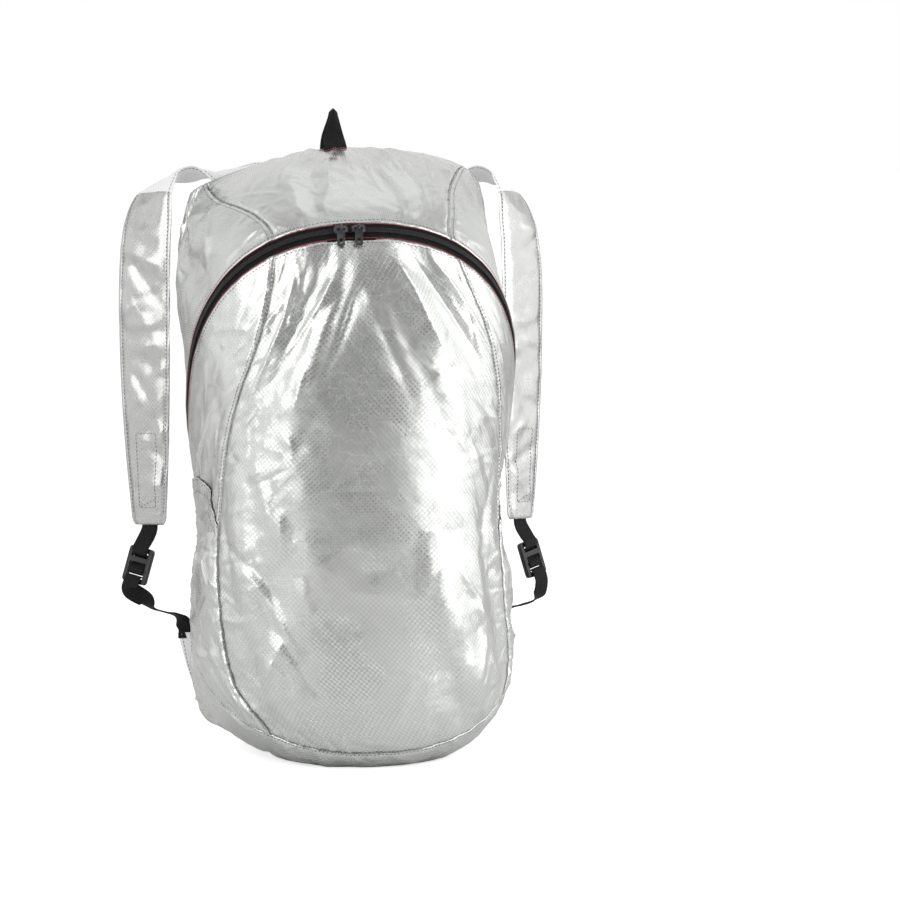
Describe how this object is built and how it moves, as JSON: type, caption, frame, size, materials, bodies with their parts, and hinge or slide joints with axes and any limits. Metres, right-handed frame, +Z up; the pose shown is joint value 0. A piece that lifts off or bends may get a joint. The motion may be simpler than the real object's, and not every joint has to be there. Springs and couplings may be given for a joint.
{
  "type": "packable backpack",
  "caption": "Light daypack of ripstop cloth with an arched zip, open side pockets, a webbing grab loop and padded shoulder straps on ladder locks.",
  "frame": {"origin": "middle of the flat patch of the underside that the pack stands on", "axes": "+Z up, the zip side faces -Y, the back and the shoulder straps face +Y, +X to the right as the zip side is looked at"},
  "size_m": [0.3446, 0.2182, 0.501],
  "materials": {
    "ripstop_cloth": "silver satin",
    "padded_strap": "silver satin",
    "zip_tape": "matt",
    "zip_coil": "satin",
    "webbing": "matt",
    "ladder_lock": "satin",
    "gunmetal": "dark satin"
  },
  "bodies": {
    "bag": {"front_panel": "ripstop_cloth", "side_panel_left": "ripstop_cloth", "side_panel_right": "ripstop_cloth", "bottom_panel": "ripstop_cloth", "top_panel": "ripstop_cloth", "shoulder_panel_left": "ripstop_cloth", "shoulder_panel_right": "ripstop_cloth", "back_panel": "ripstop_cloth", "side_pocket_left": "ripstop_cloth", "side_pocket_right": "ripstop_cloth", "strap_tab_left": "ripstop_cloth", "strap_tab_right": "ripstop_cloth", "shoulder_strap_left": "padded_strap", "shoulder_strap_right": "padded_strap", "zip_tape_lower": "zip_tape", "zip_tape_upper": "zip_tape", "zip_coil": "zip_coil", "grab_loop": "webbing", "strap_webbing_upper_left": "webbing", "strap_webbing_lower_left": "webbing", "strap_webbing_upper_right": "webbing", "strap_webbing_lower_right": "webbing", "ladder_lock_left": "ladder_lock", "ladder_lock_right": "ladder_lock", "zip_slider_left": "gunmetal", "zip_slider_right": "gunmetal"},
    "pull_left": {"zip_pull_left": "gunmetal"},
    "pull_right": {"zip_pull_right": "gunmetal"}
  },
  "joints": [
    {"name": "pull_swing_left", "type": "hinge", "parent": "bag", "child": "pull_left", "pos_m": [-0.01407, -0.07444, 0.41371], "axis": [-1, 0, 0], "range_deg": [-2, 150]},
    {"name": "pull_swing_right", "type": "hinge", "parent": "bag", "child": "pull_right", "pos_m": [-0.00036, -0.07487, 0.41426], "axis": [-1, 0, 0], "range_deg": [-2, 150]}
  ]
}
